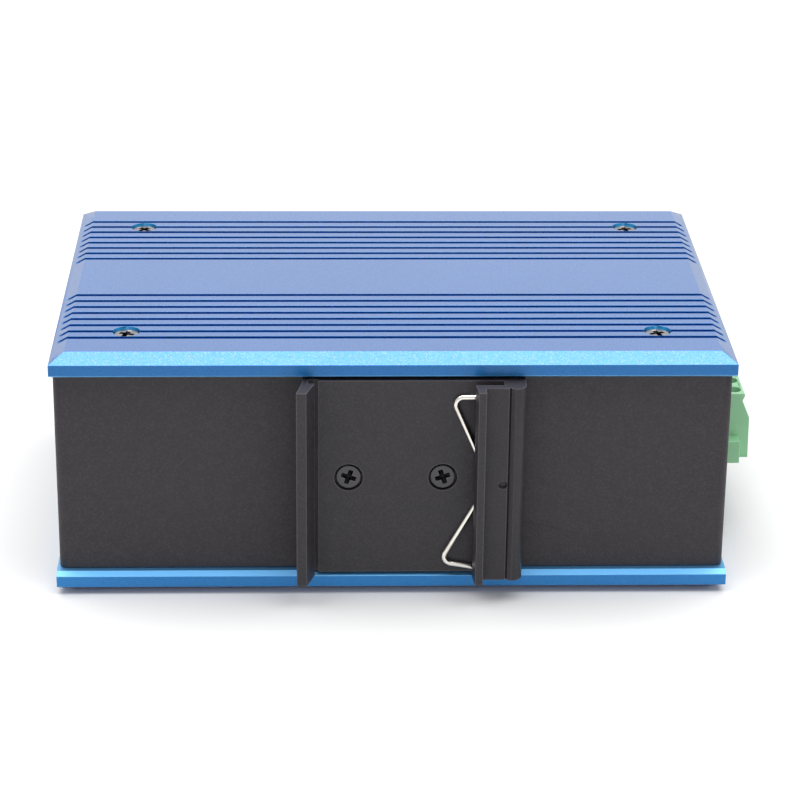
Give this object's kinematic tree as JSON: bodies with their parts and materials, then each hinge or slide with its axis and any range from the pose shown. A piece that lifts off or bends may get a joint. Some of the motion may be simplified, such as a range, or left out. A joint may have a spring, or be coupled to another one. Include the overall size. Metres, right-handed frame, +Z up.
{
  "type": "din rail ethernet switch",
  "caption": "Industrial network switch in a flat metal case with finned blue side plates, a rear clip for a 35 mm rail and a pull-off power terminal.",
  "frame": {"origin": "middle of the lower side plate's outer face, on which the switch lies", "axes": "+X along the case towards the end with the power terminal, which is the top once the switch hangs on its rail; +Y from the rail clip to the front panel; +Z up through the upper side plate"},
  "size_m": [0.143, 0.0977, 0.0515],
  "materials": {
    "blue_plate": "blue anodised, bead-blasted satin",
    "black_case": "black powder coat, fine texture",
    "black_clip": "black anodised, sand-blasted",
    "bright_screw": "nickel plated",
    "black_screw": "black oxide",
    "plated_steel": "zinc plated",
    "spring_wire": "bright drawn spring steel",
    "circuit_board": "solder mask green",
    "chip_black": "moulded epoxy",
    "can_metal": "satin",
    "ferrite": "sintered",
    "green_plastic": "moulded polyamide",
    "tinned_contact": "tin plated",
    "gold_contact": "gold flash",
    "soft_pad": "silicone pad",
    "bare_aluminium": "milled",
    "black_plastic": "moulded",
    "lamp_green": "diffused lens",
    "port_metal": "nickel plated sheet"
  },
  "bodies": {
    "case": {"side_plate_upper": "blue_plate", "side_plate_lower": "blue_plate", "upper_plate_screws": "bright_screw", "lower_plate_screws": "bright_screw", "lower_spacers": "plated_steel", "upper_standoffs": "plated_steel", "rear_shell": "black_case", "front_panel": "black_case", "front_panel_screws": "black_screw", "rail_clip": "black_clip", "clip_screws": "black_screw", "clip_nut_plate": "plated_steel", "main_board": "circuit_board", "line_chips": "chip_black", "supply_capacitors": "can_metal", "supply_coil": "ferrite", "supply_transformer": "ferrite", "crystal": "can_metal", "terminal_header": "green_plastic", "header_pins": "tinned_contact", "switch_chip": "chip_black", "thermal_pad": "soft_pad", "heat_block": "bare_aluminium", "light_holder": "black_plastic", "status_lights": "lamp_green", "earth_screw": "bright_screw", "earth_washer": "bright_screw", "earth_nut": "plated_steel", "port_shield_1": "port_metal", "port_body_1": "black_plastic", "port_contacts_1": "gold_contact", "port_shield_2": "port_metal", "port_body_2": "black_plastic", "port_contacts_2": "gold_contact", "port_shield_3": "port_metal", "port_body_3": "black_plastic", "port_contacts_3": "gold_contact", "port_shield_4": "port_metal", "port_body_4": "black_plastic", "port_contacts_4": "gold_contact", "optical_cage_1": "port_metal", "optical_socket_1": "black_plastic", "optical_cage_2": "port_metal", "optical_socket_2": "black_plastic"},
    "plug": {"terminal_plug": "green_plastic", "plug_contacts": "tinned_contact"},
    "spring": {"rail_spring": "spring_wire"},
    "screw_1": {"terminal_screw_1": "bright_screw"},
    "clamp_1": {"terminal_clamp_1": "tinned_contact"},
    "screw_2": {"terminal_screw_2": "bright_screw"},
    "clamp_2": {"terminal_clamp_2": "tinned_contact"},
    "screw_3": {"terminal_screw_3": "bright_screw"},
    "clamp_3": {"terminal_clamp_3": "tinned_contact"},
    "screw_4": {"terminal_screw_4": "bright_screw"},
    "clamp_4": {"terminal_clamp_4": "tinned_contact"},
    "screw_5": {"terminal_screw_5": "bright_screw"},
    "clamp_5": {"terminal_clamp_5": "tinned_contact"},
    "screw_6": {"terminal_screw_6": "bright_screw"},
    "clamp_6": {"terminal_clamp_6": "tinned_contact"}
  },
  "joints": [
    {"name": "plug_pull", "type": "slide", "parent": "case", "child": "plug", "axis": [1, 0, 0], "range_m": [0, 0.012]},
    {"name": "spring_press", "type": "slide", "parent": "case", "child": "spring", "axis": [1, 0, 0], "range_m": [0, 0.0092], "stiffness_N_per_m": 2000, "deforming": ["rail_spring"]},
    {"name": "screw_turn_1", "type": "hinge", "parent": "plug", "child": "screw_1", "pos_m": [0.0721, -0.0127, 0.02765], "axis": [0, 0, -1], "range_deg": [0, 1440]},
    {"name": "clamp_rise_1", "type": "slide", "parent": "plug", "child": "clamp_1", "axis": [0, 0, 1], "range_m": [0, 0.0018]},
    {"name": "screw_turn_2", "type": "hinge", "parent": "plug", "child": "screw_2", "pos_m": [0.0721, -0.00762, 0.02765], "axis": [0, 0, -1], "range_deg": [0, 1440]},
    {"name": "clamp_rise_2", "type": "slide", "parent": "plug", "child": "clamp_2", "axis": [0, 0, 1], "range_m": [0, 0.0018]},
    {"name": "screw_turn_3", "type": "hinge", "parent": "plug", "child": "screw_3", "pos_m": [0.0721, -0.00254, 0.02765], "axis": [0, 0, -1], "range_deg": [0, 1440]},
    {"name": "clamp_rise_3", "type": "slide", "parent": "plug", "child": "clamp_3", "axis": [0, 0, 1], "range_m": [0, 0.0018]},
    {"name": "screw_turn_4", "type": "hinge", "parent": "plug", "child": "screw_4", "pos_m": [0.0721, 0.00254, 0.02765], "axis": [0, 0, -1], "range_deg": [0, 1440]},
    {"name": "clamp_rise_4", "type": "slide", "parent": "plug", "child": "clamp_4", "axis": [0, 0, 1], "range_m": [0, 0.0018]},
    {"name": "screw_turn_5", "type": "hinge", "parent": "plug", "child": "screw_5", "pos_m": [0.0721, 0.00762, 0.02765], "axis": [0, 0, -1], "range_deg": [0, 1440]},
    {"name": "clamp_rise_5", "type": "slide", "parent": "plug", "child": "clamp_5", "axis": [0, 0, 1], "range_m": [0, 0.0018]},
    {"name": "screw_turn_6", "type": "hinge", "parent": "plug", "child": "screw_6", "pos_m": [0.0721, 0.0127, 0.02765], "axis": [0, 0, -1], "range_deg": [0, 1440]},
    {"name": "clamp_rise_6", "type": "slide", "parent": "plug", "child": "clamp_6", "axis": [0, 0, 1], "range_m": [0, 0.0018]}
  ],
  "couplings": [
    {"joint": "screw_turn_1", "follows": "clamp_rise_1", "rad_per_m": 13960},
    {"joint": "screw_turn_2", "follows": "clamp_rise_2", "rad_per_m": 13960},
    {"joint": "screw_turn_3", "follows": "clamp_rise_3", "rad_per_m": 13960},
    {"joint": "screw_turn_4", "follows": "clamp_rise_4", "rad_per_m": 13960},
    {"joint": "screw_turn_5", "follows": "clamp_rise_5", "rad_per_m": 13960},
    {"joint": "screw_turn_6", "follows": "clamp_rise_6", "rad_per_m": 13960}
  ]
}
